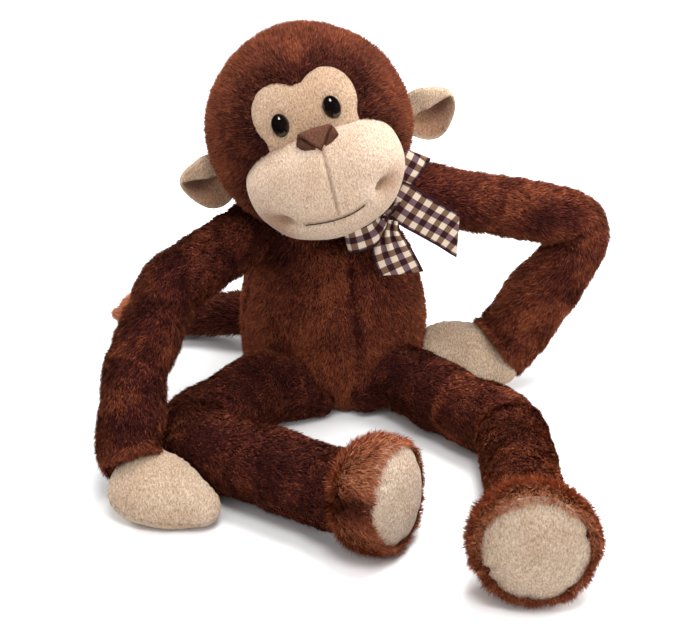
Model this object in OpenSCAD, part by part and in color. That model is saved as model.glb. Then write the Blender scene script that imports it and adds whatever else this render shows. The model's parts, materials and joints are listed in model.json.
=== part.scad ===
// Long-limbed stuffed monkey sitting on a flat surface, soft parts as plain closed solids.
// The origin is the middle of the flat seat, +Z is up and the monkey faces -Y.
// Every limb is a chain of round-ended segments, each one a plush skin with stuffing inside.

/* [Fabric] */
// Thickness of the plush skin with its backing
skin_t = 2.5; // [1.5:0.1:3.5]
// Space between a skin and the stuffing in it
fill_gap = 0.3; // [0.2:0.05:0.6]

/* [Torso] */
// Widest radius of the pear-shaped torso
torso_r = 57; // [54:0.5:58]
// Height of the torso from the seat to the neck seam
torso_h = 112; // [110:0.5:113]
// Radius of the flat seat
seat_r = 36; // [30:1:42]
// Radius of the neck seam on top of the torso
neck_seam_r = 18; // [16:0.5:20]
// Radius of the pouch of pellets in the seat
pellet_bag_r = 27; // [20:1:30]
// Height of the pouch of pellets
pellet_bag_h = 15; // [10:1:20]

/* [Head] */
// Radius of the head skin
head_r = 60; // [58:0.5:60.5]
// Middle of the head
head_c = [-14, -12, 177];
// Sideways tilt of the head, the monkey's right side lower
head_roll = -18; // [-20:1:-10]
// Turn of the face towards the monkey's left
head_yaw = 8; // [4:1:10]
// Radius of the stuffed neck
neck_r = 15; // [12:0.5:16]

/* [Face] */
// Thickness of the velour face patch
patch_t = 1.4; // [1:0.1:1.8]
// Radius of each rounded lobe at the top of the face patch
patch_lobe_r = 17; // [15:0.5:18]
// Middle of the muzzle from the middle of the head
muzzle_c = [0, -44, -18];
// Half width, half depth and half height of the muzzle
muzzle_half = [47, 38, 36];
// Half sizes of a plastic eye
eye_half = [5.3, 4.6, 7.3];
// Place of the left eye from the middle of the head, across and up
eye_at = [15.5, 23.5];
// Radius of an eye's shank
shank_r = 1.7; // [1.5:0.1:2]
// Radius of the washer that holds an eye inside the head
washer_r = 7; // [5:0.5:8]
// Half sizes of the suede nose
nose_half = [12.5, 8, 8];
// Middle of the nose from the middle of the head
nose_at = [0, -66, 13];
// Radius that the mouth line is drawn with
mouth_r = 55; // [45:1:70]

/* [Ears] */
// Half width, half depth and half height of an ear's bowl
ear_half = [18, 8, 18];
// Middle of the left ear from the middle of the head
ear_at = [72, 8, -18];
// Thickness of each of an ear's two layers
ear_t = 2; // [1.5:0.1:2.4]

/* [Arms] */
// Radius of an arm
arm_r = 18; // [17:0.5:18.5]
// Radius of a hand
hand_r = 16; // [14:0.5:16.5]
// Right shoulder, elbow, wrist and fingertips
arm_right = [[-46, -8, 101], [-98, -82, 99], [-117, -148, 32], [-70, -189, 16]];
// Left shoulder, elbow, wrist and fingertips
arm_left = [[47, 3, 117], [157, 12, 103], [110, -8, 32], [62, 9, 19]];
// Start of the right upper arm, forearm and hand from the shoulder, elbow and wrist
arm_right_starts = [29, 37, 35];
// Start of the left upper arm, forearm and hand from the shoulder, elbow and wrist
arm_left_starts = [15, 43, 34.6];

/* [Legs] */
// Radius of a leg
leg_r = 21; // [20:0.5:21.5]
// Radius of a foot
foot_r = 30; // [28:0.5:31]
// Radius of the velour sole
sole_r = 27.5; // [25:0.5:28]
// Thickness of the velour sole
sole_t = 1.6; // [1:0.1:2]
// Right hip, knee, ankle and middle of the sole
leg_right = [[-38, -48, 25], [-84, -118, 24], [-4, -184, 27], [34, -214, 35]];
// Left hip, knee, ankle and middle of the sole
leg_left = [[38, -42, 25], [114, -112, 25], [108, -221, 28], [106, -264, 36]];
// Start of a thigh and a shin from the hip and the knee
leg_starts = [35, 43.5];
// Start of a foot from the ankle
foot_start = 24; // [22:0.5:26]

/* [Tail] */
// Radius of the tail
tail_r = 14.5; // [13:0.5:15]
// Root, middle and tip of the tail
tail_points = [[-24, 50, 22], [-84, 62, 17], [-152, 64, 17]];
// Start of the tail's two segments from the root and the middle
tail_starts = [29, 30];

/* [Bow] */
// Thickness of the ribbon with its folds
ribbon_t = 1.2; // [0.8:0.1:1.6]
// Width of the ribbon
ribbon_w = 25; // [20:0.5:26]
// Middle of the knot
knot_at = [41, -41, 128];
// Radius of the ribbon round the neck
collar_r = 26.5; // [25:0.5:27]

/* [Hidden] */
$fn = 48;

plush = [0.24, 0.10, 0.05];
velour = [0.82, 0.66, 0.49];
wadding = [0.95, 0.95, 0.93];
gingham = [0.45, 0.33, 0.27];
suede = [0.25, 0.15, 0.10];
black = [0.02, 0.02, 0.02];

// Clearance between two curved faces of one body
cl = 0.2;
patch_r = head_r + cl + patch_t;
// The muzzle and the eyes end on this sphere
face_r = patch_r + 2 * cl;
// The neck ends on this sphere
neck_top_r = head_r + 0.5;
profile_steps = 10;

function bezier(p, t) =
    pow(1 - t, 3) * p[0] + 3 * t * pow(1 - t, 2) * p[1] + 3 * t * t * (1 - t) * p[2] + pow(t, 3) * p[3];

// Half outline of the torso, moved inwards by inset
function torso_outline(inset) = let(
    waist = [torso_r - inset, torso_h * 0.38],
    low = [[seat_r - inset, inset], [torso_r - inset, inset], [torso_r - inset, torso_h * 0.16], waist],
    high = [waist, [torso_r - inset, torso_h * 0.72], [torso_r * 0.74 - inset, torso_h - inset],
        [neck_seam_r - inset, torso_h - inset]]
) concat(
    [[0, inset]],
    [for (i = [0 : profile_steps]) bezier(low, i / profile_steps)],
    [for (i = [1 : profile_steps]) bezier(high, i / profile_steps)],
    [[0, torso_h - inset]]
);

function toward(a, b, distance) = a + (b - a) * distance / norm(b - a);

// Places children at a, with +Z pointing to b
module aim(a, b) {
    d = b - a;
    translate(a)
        rotate([0, acos(d.z / norm(d)), atan2(d.y, d.x)])
            children();
}

// Round-ended rod from a to b
module capsule(a, b, r) {
    length = norm(b - a);
    aim(a, b)
        rotate_extrude()
            intersection() {
                union() {
                    circle(r);
                    translate([0, length])
                        circle(r);
                    translate([-r, 0])
                        square([2 * r, length]);
                }
                translate([0, -r])
                    square([r, length + 2 * r]);
            }
}

module limb_skin(a, b, r) {
    color(plush)
        difference() {
            capsule(a, b, r);
            capsule(a, b, r - skin_t);
        }
}

module limb_stuffing(a, b, r) {
    color(wadding)
        capsule(a, b, r - skin_t - fill_gap);
}

module ellipsoid(half) {
    scale(half)
        sphere(1);
}

module head_frame() {
    translate(head_c)
        rotate([0, head_roll, 0])
            rotate([0, 0, head_yaw])
                children();
}

// Places children on the head's surface at an eye, with +Z pointing outwards
module eye_frame(side) {
    depth = sqrt(pow(patch_r, 2) - pow(eye_at.x, 2) - pow(eye_at.y, 2));
    head_frame()
        aim([0, 0, 0], [side * eye_at.x, -depth, eye_at.y])
            children();
}

module torso_skin() {
    color(plush)
        difference() {
            rotate_extrude()
                polygon(torso_outline(0));
            rotate_extrude()
                polygon(torso_outline(skin_t));
        }
}

module pellet_bag_shape(grow) {
    translate([0, 0, 8 - grow])
        cylinder(h = pellet_bag_h + 2 * grow, r = pellet_bag_r + grow);
}

module torso_stuffing() {
    color(wadding)
        difference() {
            rotate_extrude()
                polygon(torso_outline(skin_t + fill_gap));
            pellet_bag_shape(fill_gap);
        }
}

module pellet_bag() {
    color([0.80, 0.78, 0.72])
        pellet_bag_shape(0);
}

// Short stuffed neck between the flat neck seam and the round head
module neck_shape(r, bottom, top_gap) {
    difference() {
        translate([head_c.x, head_c.y, bottom])
            cylinder(h = 16, r = r);
        translate(head_c)
            sphere(neck_top_r + top_gap);
    }
}

module neck_skin() {
    color(plush)
        difference() {
            neck_shape(neck_r, torso_h + 0.5, 0);
            translate([head_c.x, head_c.y, torso_h])
                cylinder(h = 20, r = neck_r - skin_t);
        }
}

module neck_stuffing() {
    color(wadding)
        neck_shape(neck_r - skin_t - fill_gap, torso_h + 0.5, 0);
}

module head_skin() {
    color(plush)
        difference() {
            translate(head_c)
                sphere(head_r);
            translate(head_c)
                sphere(head_r - skin_t);
            for (side = [-1, 1])
                eye_frame(side)
                    cylinder(h = head_r + 5, r = shank_r + cl);
        }
}

module head_stuffing() {
    color(wadding)
        difference() {
            translate(head_c)
                sphere(head_r - skin_t - fill_gap);
            for (side = [-1, 1])
                eye_frame(side) {
                    translate([0, 0, head_r - 15])
                        cylinder(h = 15, r = shank_r + 0.5);
                    translate([0, 0, head_r - 5.6])
                        cylinder(h = 10, r = washer_r + 0.5);
                }
        }
}

module face_patch() {
    color(velour)
        difference() {
            intersection() {
                translate(head_c)
                    sphere(patch_r);
                head_frame()
                    rotate([90, 0, 0])
                        linear_extrude(head_r + 10) {
                            for (side = [-1, 1])
                                translate([side * 12.5, 27])
                                    circle(patch_lobe_r);
                            translate([-patch_lobe_r - 12.5, 0])
                                square([2 * patch_lobe_r + 25, 27]);
                        }
            }
            translate(head_c)
                sphere(head_r + cl);
            for (side = [-1, 1])
                eye_frame(side)
                    cylinder(h = head_r + 10, r = shank_r + cl);
        }
}

module muzzle_body(grow) {
    head_frame()
        translate(muzzle_c)
            ellipsoid([for (h = muzzle_half) h + grow]);
}

module muzzle_skin() {
    color(velour)
        difference() {
            muzzle_body(0);
            muzzle_body(-skin_t);
            translate(head_c)
                sphere(face_r);
        }
}

module muzzle_stuffing() {
    color(wadding)
        difference() {
            muzzle_body(-skin_t - fill_gap);
            translate(head_c)
                sphere(face_r);
        }
}

module nose() {
    color(suede)
        difference() {
            head_frame()
                translate(nose_at)
                    ellipsoid(nose_half);
            muzzle_body(cl);
            translate(head_c)
                sphere(face_r);
        }
}

module mouth_stitch() {
    color(suede)
        difference() {
            intersection() {
                muzzle_body(1.2);
                head_frame()
                    rotate([90, 0, 0])
                        linear_extrude(head_r + 40)
                            translate([0, mouth_r - 35])
                                intersection() {
                                    difference() {
                                        circle(mouth_r + 0.6);
                                        circle(mouth_r - 0.6);
                                    }
                                    polygon([[0, 0], [-24, -mouth_r - 2], [24, -mouth_r - 2]]);
                                }
            }
            muzzle_body(cl);
            translate(head_c)
                sphere(face_r);
        }
}

module eye(side) {
    depth = sqrt(pow(patch_r, 2) - pow(eye_at.x, 2) - pow(eye_at.y, 2));
    color(black)
        union() {
            eye_frame(side)
                translate([0, 0, head_r - 12])
                    cylinder(h = 15, r = shank_r);
            difference() {
                head_frame()
                    translate([side * eye_at.x, -depth, eye_at.y])
                        ellipsoid(eye_half);
                translate(head_c)
                    sphere(face_r);
                muzzle_body(cl);
            }
        }
}

module eye_washer(side) {
    color(wadding)
        eye_frame(side)
            translate([0, 0, head_r - 5])
                difference() {
                    cylinder(h = 1.6, r = washer_r);
                    translate([0, 0, -1])
                        cylinder(h = 4, r = shank_r + 0.1);
                }
}

// One cupped layer of an ear, open to the front
module ear_layer(side, outer_inset) {
    color(velour)
        difference() {
            head_frame()
                translate([side * ear_at.x, ear_at.y, ear_at.z])
                    difference() {
                        ellipsoid([for (h = ear_half) h - outer_inset]);
                        ellipsoid([for (h = ear_half) h - outer_inset - ear_t]);
                        translate([-50, -100, -50])
                            cube(100);
                    }
            translate(head_c)
                sphere(head_r + 1.8);
        }
}

module ear_back(side) {
    ear_layer(side, 0);
}

module ear_lining(side) {
    ear_layer(side, ear_t + cl);
}

// Parts of an arm: 0 upper arm, 1 forearm, 2 hand
function arm_start(p, starts, part) = toward(p[part], p[part + 1], starts[part]);
function arm_end(p, part) = part < 2 ? p[part + 1] : toward(p[3], p[2], hand_r);
function arm_part_r(part) = part < 2 ? arm_r : hand_r;

module arm_skin(p, starts, part) {
    limb_skin(arm_start(p, starts, part), arm_end(p, part), arm_part_r(part));
}

module arm_stuffing(p, starts, part) {
    limb_stuffing(arm_start(p, starts, part), arm_end(p, part), arm_part_r(part));
}

module leg_skin(p, part) {
    limb_skin(toward(p[part], p[part + 1], leg_starts[part]), p[part + 1], leg_r);
}

module leg_stuffing(p, part) {
    limb_stuffing(toward(p[part], p[part + 1], leg_starts[part]), p[part + 1], leg_r);
}

// Drum with a narrower back edge, from the ankle side to the sole
module foot_shape(p, inset) {
    length = norm(p[3] - p[2]) - foot_start - sole_t - cl;
    aim(p[2], p[3])
        translate([0, 0, foot_start + inset])
            union() {
                cylinder(h = 8 - inset, r1 = foot_r - 6 - inset, r2 = foot_r - inset);
                translate([0, 0, 8 - inset])
                    cylinder(h = length - 8 - inset, r = foot_r - inset);
            }
}

module foot_skin(p) {
    color(plush)
        difference() {
            foot_shape(p, 0);
            foot_shape(p, skin_t);
        }
}

module foot_stuffing(p) {
    color(wadding)
        foot_shape(p, skin_t + fill_gap);
}

module sole(p) {
    color(velour)
        aim(p[2], p[3])
            translate([0, 0, norm(p[3] - p[2]) - sole_t])
                cylinder(h = sole_t, r = sole_r);
}

// Parts of the tail: 0 base, 1 tip
function tail_start(part) = toward(tail_points[part], tail_points[part + 1], tail_starts[part]);
function tail_end(part) = part < 1 ? tail_points[1] : toward(tail_points[2], tail_points[1], tail_r);

module tail_skin(part) {
    limb_skin(tail_start(part), tail_end(part), tail_r);
}

module tail_stuffing(part) {
    limb_stuffing(tail_start(part), tail_end(part), tail_r);
}

module collar_ribbon() {
    color(gingham)
        translate([-9, -7, torso_h + 1])
            difference() {
                cylinder(h = 5, r = collar_r);
                translate([0, 0, -1])
                    cylinder(h = 8, r = collar_r - ribbon_t);
            }
}

module bow_knot() {
    color(gingham)
        translate(knot_at)
            rotate([0, -35, 0])
                ellipsoid([6, 5, 8]);
}

// Flat closed loop of ribbon that starts at the knot and points along +X before it is turned
module bow_loop(length, width, height, turn, depth) {
    color(gingham)
        difference() {
            translate(knot_at + [0, depth, 0])
                rotate(turn)
                    translate([length / 2 + 7, 0, 0])
                        translate([0, 0, -width / 2])
                            linear_extrude(width)
                                difference() {
                                    scale([length / 2, height / 2])
                                        circle(1);
                                    scale([length / 2 - ribbon_t, height / 2 - ribbon_t])
                                        circle(1);
                                }
            translate(knot_at)
                sphere(9);
        }
}

// Loose end of ribbon that starts at the knot and points along +X before it is turned
module bow_tail(length, turn, depth) {
    color(gingham)
        translate(knot_at + [0, depth, 0])
            rotate(turn)
                translate([10, -ribbon_t / 2, -ribbon_w / 2])
                    cube([length, ribbon_t, ribbon_w]);
}

torso_skin();
torso_stuffing();
pellet_bag();
neck_skin();
neck_stuffing();
collar_ribbon();
bow_knot();
bow_loop(26, 18, 8, [0, -65, 0], 12);  // bow_loop_upper
bow_loop(26, 17, 10, [0, 146, 0], 0);  // bow_loop_lower
bow_tail(36, [0, 22, 0], 5.5);  // bow_tail_upper
bow_tail(30, [0, 95, 0], -6.5);  // bow_tail_lower
head_skin();
head_stuffing();
face_patch();
muzzle_skin();
muzzle_stuffing();
nose();
mouth_stitch();
eye(-1);  // eye_right
eye(1);  // eye_left
eye_washer(-1);  // eye_washer_right
eye_washer(1);  // eye_washer_left
ear_back(-1);  // ear_right_back
ear_lining(-1);  // ear_right_lining
ear_back(1);  // ear_left_back
ear_lining(1);  // ear_left_lining
arm_skin(arm_right, arm_right_starts, 0);  // upper_arm_right_skin
arm_stuffing(arm_right, arm_right_starts, 0);  // upper_arm_right_stuffing
arm_skin(arm_right, arm_right_starts, 1);  // forearm_right_skin
arm_stuffing(arm_right, arm_right_starts, 1);  // forearm_right_stuffing
arm_skin(arm_right, arm_right_starts, 2);  // hand_right_skin
arm_stuffing(arm_right, arm_right_starts, 2);  // hand_right_stuffing
arm_skin(arm_left, arm_left_starts, 0);  // upper_arm_left_skin
arm_stuffing(arm_left, arm_left_starts, 0);  // upper_arm_left_stuffing
arm_skin(arm_left, arm_left_starts, 1);  // forearm_left_skin
arm_stuffing(arm_left, arm_left_starts, 1);  // forearm_left_stuffing
arm_skin(arm_left, arm_left_starts, 2);  // hand_left_skin
arm_stuffing(arm_left, arm_left_starts, 2);  // hand_left_stuffing
leg_skin(leg_right, 0);  // thigh_right_skin
leg_stuffing(leg_right, 0);  // thigh_right_stuffing
leg_skin(leg_right, 1);  // shin_right_skin
leg_stuffing(leg_right, 1);  // shin_right_stuffing
foot_skin(leg_right);  // foot_right_skin
foot_stuffing(leg_right);  // foot_right_stuffing
sole(leg_right);  // sole_right
leg_skin(leg_left, 0);  // thigh_left_skin
leg_stuffing(leg_left, 0);  // thigh_left_stuffing
leg_skin(leg_left, 1);  // shin_left_skin
leg_stuffing(leg_left, 1);  // shin_left_stuffing
foot_skin(leg_left);  // foot_left_skin
foot_stuffing(leg_left);  // foot_left_stuffing
sole(leg_left);  // sole_left
tail_skin(0);  // tail_base_skin
tail_stuffing(0);  // tail_base_stuffing
tail_skin(1);  // tail_tip_skin
tail_stuffing(1);  // tail_tip_stuffing
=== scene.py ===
import json
import math

import bpy
import numpy as np
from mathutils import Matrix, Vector
from mathutils.bvhtree import BVHTree


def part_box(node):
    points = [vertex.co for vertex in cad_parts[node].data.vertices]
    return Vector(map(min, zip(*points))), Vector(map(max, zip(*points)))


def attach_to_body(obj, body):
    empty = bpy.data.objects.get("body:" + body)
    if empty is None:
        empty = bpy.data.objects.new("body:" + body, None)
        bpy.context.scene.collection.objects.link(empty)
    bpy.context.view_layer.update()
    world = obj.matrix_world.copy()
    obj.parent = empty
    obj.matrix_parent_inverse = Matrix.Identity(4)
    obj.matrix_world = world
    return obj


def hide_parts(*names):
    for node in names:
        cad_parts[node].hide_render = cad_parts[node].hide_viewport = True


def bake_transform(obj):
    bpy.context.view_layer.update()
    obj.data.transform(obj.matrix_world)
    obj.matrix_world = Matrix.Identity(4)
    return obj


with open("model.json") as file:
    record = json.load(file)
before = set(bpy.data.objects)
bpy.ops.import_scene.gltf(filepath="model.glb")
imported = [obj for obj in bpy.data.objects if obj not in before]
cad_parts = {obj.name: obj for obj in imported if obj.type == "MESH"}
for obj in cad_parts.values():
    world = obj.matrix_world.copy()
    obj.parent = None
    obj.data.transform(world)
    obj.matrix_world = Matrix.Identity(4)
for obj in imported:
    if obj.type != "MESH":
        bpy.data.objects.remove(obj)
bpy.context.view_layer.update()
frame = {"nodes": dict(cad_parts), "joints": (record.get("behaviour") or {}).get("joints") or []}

# Looks of a sitting, long-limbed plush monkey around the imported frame.
# Shapes are worked out in millimetres in the frame's axes and become metres when a mesh is made.
# "right" and "left" are the monkey's own, and it faces -Y.

MM = 0.001
JOINT = {j["name"]: np.array(j["pos_m"]) / MM for j in frame["joints"]}
UP = np.array([0.0, 0.0, 1.0])
# Height over the floor of the lowest points that are kept off it.
FLOOR_GAP = 0.4


# ---------------------------------------------------------------- numbers and fields

def unit(v):
    return v / np.maximum(np.linalg.norm(v, axis=-1, keepdims=True), 1e-9)


def smooth(x, low, high):
    t = np.clip((x - low) / (high - low), 0, 1)
    return t * t * (3 - 2 * t)


def hill(distance, width):
    """1 at no distance, falling to nearly 0 at twice the width."""
    return np.exp(-(distance / width) ** 2)


def ripple(points, wavelength, seed, waves=9):
    """A smooth seeded field with a spread of about 0.5, for points in mm."""
    rng = np.random.default_rng(seed)
    directions = unit(rng.normal(size=(waves, 3)))
    lengths = wavelength * rng.uniform(0.7, 1.4, waves)
    phases = points @ directions.T / lengths + rng.uniform(0, 1, waves)
    return 0.5 * math.sqrt(2 / waves) * np.sin(2 * np.pi * phases).sum(-1)


def turns(count):
    """Evenly spaced angles of a full turn."""
    return np.linspace(0, 2 * np.pi, count, endpoint=False)


def hill_round(angle, place, width):
    """A hill over angles, centred on a place of the turn."""
    return hill(np.angle(np.exp(1j * (angle - place))), width)


def circle(angle, first, second):
    """Directions at angles that turn from the first direction to the second."""
    return first * np.cos(angle)[:, None] + second * np.sin(angle)[:, None]


def lumpy(points, outward, height, wavelength, seed):
    """Points moved outwards and inwards into slow seeded lumps."""
    return points + outward * (height * ripple(points, wavelength, seed))[..., None]


def lift_off_floor(points, extra=0.0):
    points[..., 2] = np.maximum(points[..., 2], FLOOR_GAP + extra)


def distance_along(path):
    """Distance along a path to each of its points."""
    return np.concatenate([[0], np.cumsum(np.linalg.norm(np.diff(path, axis=0), axis=1))])


def resample(values, places, at):
    """Rows of values, given at places, interpolated at other places."""
    return np.stack([np.interp(at, places, column) for column in values.T], 1)


def node_points(node):
    """A CAD node's vertices in mm."""
    vertices = frame["nodes"][node].data.vertices
    flat = np.zeros(len(vertices) * 3)
    vertices.foreach_get("co", flat)
    return flat.reshape(-1, 3) / MM


def middle(node):
    low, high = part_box(node)
    return (np.array(low) + np.array(high)) / 2 / MM


def reach(node, origin, direction):
    """How far the node goes from the origin along the direction."""
    return float(((node_points(node) - origin) @ direction).max())


# ---------------------------------------------------------------- meshes

def band(rings, closed=True):
    """Triangles of a grid of rings, as places in the flattened grid."""
    rows, columns = rings.shape[:2]
    across = columns if closed else columns - 1
    i, j = np.meshgrid(np.arange(rows - 1), np.arange(across), indexing="ij")
    i, j = i.ravel(), j.ravel()
    k = (j + 1) % columns
    a, b, c, d = i * columns + j, i * columns + k, (i + 1) * columns + k, (i + 1) * columns + j
    return np.concatenate([np.stack([a, b, c], 1), np.stack([a, c, d], 1)])


def fan(first, columns, pole, flip):
    """Triangles from a ring of points, starting at first, to its pole."""
    j = np.arange(columns)
    k = (j + 1) % columns
    tri = np.stack([first + j, first + k, np.full(columns, pole)], 1)
    return tri[:, ::-1] if flip else tri


def shell(rings, start=None, end=None):
    """Points and triangles of a tube of rings, closed by a pole at each end that has one."""
    rows, columns = rings.shape[:2]
    points, triangles = [rings.reshape(-1, 3)], [band(rings)]
    count = rows * columns
    if start is not None:
        points.append(np.array([start]))
        triangles.append(fan(0, columns, count, True))
        count += 1
    if end is not None:
        points.append(np.array([end]))
        triangles.append(fan((rows - 1) * columns, columns, count, False))
    return np.concatenate(points), np.concatenate(triangles)


def normals_of(points, triangles):
    a, b, c = (points[triangles[:, i]] for i in range(3))
    face = np.cross(b - a, c - a)
    total = np.zeros_like(points)
    for i in range(3):
        np.add.at(total, triangles[:, i], face)
    return unit(total)


def turned_out(points, triangles, outward):
    """The triangles, flipped if that makes the last point's normal go outwards."""
    return triangles if normals_of(points, triangles)[-1] @ outward > 0 else triangles[:, ::-1]


def piece(name, points, triangles, materials, slots=None):
    """A mesh object in the frame, from points in mm."""
    mesh = bpy.data.meshes.new(name)
    mesh.vertices.add(len(points))
    mesh.vertices.foreach_set("co", (points * MM).astype(np.float32).ravel())
    mesh.loops.add(triangles.size)
    mesh.loops.foreach_set("vertex_index", triangles.astype(np.int32).ravel())
    mesh.polygons.add(len(triangles))
    mesh.polygons.foreach_set("loop_start", np.arange(0, triangles.size, 3, dtype=np.int32))
    mesh.polygons.foreach_set("use_smooth", np.full(len(triangles), True))
    for material in materials:
        mesh.materials.append(material)
    if slots is not None:
        mesh.polygons.foreach_set("material_index", slots.astype(np.int32))
    mesh.update(calc_edges=True)
    obj = bpy.data.objects.new(name, mesh)
    bpy.context.scene.collection.objects.link(obj)
    return obj


def attach(obj, body, nodes=()):
    """Makes a piece ride on a body, and hides the CAD nodes it stands for."""
    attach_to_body(obj, body)
    if nodes:
        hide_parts(*nodes)


# ---------------------------------------------------------------- materials

def shader_material(name, roughness=0.9, **sockets):
    """A material with a Principled shader, whose even numbers are set on its own sockets."""
    material = bpy.data.materials.new(name)
    material.use_nodes = True
    shader = material.node_tree.nodes["Principled BSDF"]
    shader.inputs["Roughness"].default_value = roughness
    for socket, value in sockets.items():
        shader.inputs[socket.replace("_", " ")].default_value = value
    return material, material.node_tree, shader


def noise_node(tree, scale, detail, stretch=None, roughness=0.55):
    """A noise texture in object space, scale in turns per metre, with its axes stretched if asked."""
    coordinates = tree.nodes.new("ShaderNodeTexCoord")
    noise = tree.nodes.new("ShaderNodeTexNoise")
    noise.inputs["Scale"].default_value = scale
    noise.inputs["Detail"].default_value = detail
    noise.inputs["Roughness"].default_value = roughness
    source = coordinates.outputs["Object"]
    if stretch:
        mapping = tree.nodes.new("ShaderNodeMapping")
        mapping.inputs["Scale"].default_value = stretch
        tree.links.new(source, mapping.inputs["Vector"])
        source = mapping.outputs["Vector"]
    tree.links.new(source, noise.inputs["Vector"])
    return noise.outputs["Fac"]


def ramp_node(tree, factor, stops):
    """A colour ramp over (place, colour) stops."""
    ramp = tree.nodes.new("ShaderNodeValToRGB")
    elements = ramp.color_ramp.elements
    while len(elements) < len(stops):
        elements.new(0.5)
    for element, (place, colour) in zip(elements, stops):
        element.position = place
        element.color = (*colour, 1.0)
    tree.links.new(factor, ramp.inputs["Fac"])
    return ramp.outputs["Color"]


def bump_node(tree, shader, height, distance):
    bump = tree.nodes.new("ShaderNodeBump")
    bump.inputs["Distance"].default_value = distance
    tree.links.new(height, bump.inputs["Height"])
    tree.links.new(bump.outputs["Normal"], shader.inputs["Normal"])


def feed(tree, value, place):
    """Links an output to an input, or sets the input to a number or a colour."""
    if hasattr(value, "is_linked"):
        tree.links.new(value, place)
    else:
        place.default_value = (*value, 1.0) if place.type == "RGBA" else value


def mix_colours(tree, factor, first, second, blend="MIX"):
    mix = tree.nodes.new("ShaderNodeMix")
    mix.data_type = "RGBA"
    mix.blend_type = blend
    for socket, value in (("Factor", factor), ("A", first), ("B", second)):
        named = [s for s in mix.inputs if s.name == socket]
        feed(tree, value, named[0] if socket == "Factor" else next(s for s in named if s.type == "RGBA"))
    return next(s for s in mix.outputs if s.type == "RGBA")


def mottled_material(name, roughness, dark, light, grain, bump=None, light_from=0.7, **sockets):
    """Two colours in a noise of grain, a scale and a detail. bump adds a height in metres to those two."""
    material, tree, shader = shader_material(name, roughness, **sockets)
    colour = ramp_node(tree, noise_node(tree, *grain), [(0.3, dark), (light_from, light)])
    tree.links.new(colour, shader.inputs["Base Color"])
    if bump:
        bump_node(tree, shader, noise_node(tree, *bump[:2]), bump[2])
    return material


def plush_skin_material(name, dark, light):
    """The woven ground under the pile."""
    return mottled_material(name, 0.95, dark, light, (90, 4), (900, 3, 0.0006), Specular_IOR_Level=0.05)


def velour_material(name, dark, middle_tone, light, tint=None, tint_places=(), tint_radius=0.009):
    """Short velour: a fine leaning nap with dark flecks, and soft broad patches.

    tint is a colour laid round each of tint_places, in metres: painted shade in the ears' pockets, and a
    brown tint round the muzzle's dimples."""
    material, tree, shader = shader_material(name, 0.92, Sheen_Weight=0.15, Specular_IOR_Level=0.15)
    nap = noise_node(tree, 1150, 2, (1.0, 0.4, 0.6), 0.8)
    colour = ramp_node(tree, nap, [(0.3, dark), (0.5, middle_tone), (0.7, light)])
    broad = noise_node(tree, 34, 2)
    patches = ramp_node(tree, broad, [(0.3, (0.86, 0.80, 0.74)), (0.65, (1.0, 1.0, 1.0))])
    colour = mix_colours(tree, 1.0, colour, patches, "MULTIPLY")
    for place in tint_places:
        geometry = tree.nodes.new("ShaderNodeTexCoord")
        distance = tree.nodes.new("ShaderNodeVectorMath")
        distance.operation = "DISTANCE"
        distance.inputs[1].default_value = place
        tree.links.new(geometry.outputs["Object"], distance.inputs[0])
        fade = tree.nodes.new("ShaderNodeMapRange")
        fade.interpolation_type = "SMOOTHERSTEP"
        fade.inputs["From Max"].default_value = tint_radius
        fade.inputs["To Min"].default_value = 0.75
        fade.inputs["To Max"].default_value = 0.0
        tree.links.new(distance.outputs["Value"], fade.inputs["Value"])
        colour = mix_colours(tree, fade.outputs["Result"], colour, tint)
    tree.links.new(colour, shader.inputs["Base Color"])
    bump_node(tree, shader, nap, 0.0018)
    return material


PILE_SHEEN = (0.95, 0.30, 0.13, 1.0)


def pile_material(name, colour):
    """One even colour of pile strands."""
    return shader_material(name, 0.7, Base_Color=(*colour, 1.0), Specular_IOR_Level=0.0, Sheen_Weight=0.26,
                           Sheen_Roughness=0.4, Sheen_Tint=PILE_SHEEN)[0]


def suede_material(name, dark, light):
    """Fine grain with broad worn patches."""
    material, tree, shader = shader_material(name, 0.9, Specular_IOR_Level=0.2)
    grain = noise_node(tree, 900, 5)
    broad = noise_node(tree, 160, 2)
    colour = ramp_node(tree, grain, [(0.3, dark), (0.7, light)])
    shade = ramp_node(tree, broad, [(0.3, (0.78, 0.75, 0.72)), (0.7, (1.0, 1.0, 1.0))])
    tree.links.new(mix_colours(tree, 1.0, colour, shade, "MULTIPLY"), shader.inputs["Base Color"])
    bump_node(tree, shader, grain, 0.0004)
    return material


def eye_material():
    """Glossy, nearly black plastic with faint clouds."""
    return mottled_material("eye_plastic", 0.05, (0.002, 0.0015, 0.0015), (0.010, 0.006, 0.005), (160, 2),
                            light_from=0.8, Specular_IOR_Level=0.8)


def thread_material():
    """Embroidery thread with fine fibres."""
    return mottled_material("embroidery", 0.55, (0.012, 0.006, 0.005), (0.05, 0.025, 0.018), (2500, 2),
                            (2500, 2, 0.0001))


def inner_material(name, dark, light):
    """Lining cloth and washers, which the skins hide."""
    return mottled_material(name, 0.8, dark, light, (400, 4), (800, 3, 0.0003))


def math_node(tree, operation, first, second=None):
    """A Math node whose inputs are outputs of other nodes or numbers."""
    node = tree.nodes.new("ShaderNodeMath")
    node.operation = operation
    feed(tree, first, node.inputs[0])
    if second is not None:
        feed(tree, second, node.inputs[1])
    return node.outputs[0]


# Width of one check and spacing of the threads, in mm.
CHECK = 4.1
THREAD_SPACING = 0.55
# Shifts the checks by a quarter of their repeat, and by whole repeats that keep them positive.
CHECK_START = 100.25
RIBBON_CREAM = (0.78, 0.65, 0.50)
RIBBON_BROWN = (0.215, 0.120, 0.075)
RIBBON_DARK = (0.040, 0.011, 0.014)
RIBBON_PLUM = (0.185, 0.105, 0.125)


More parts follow.
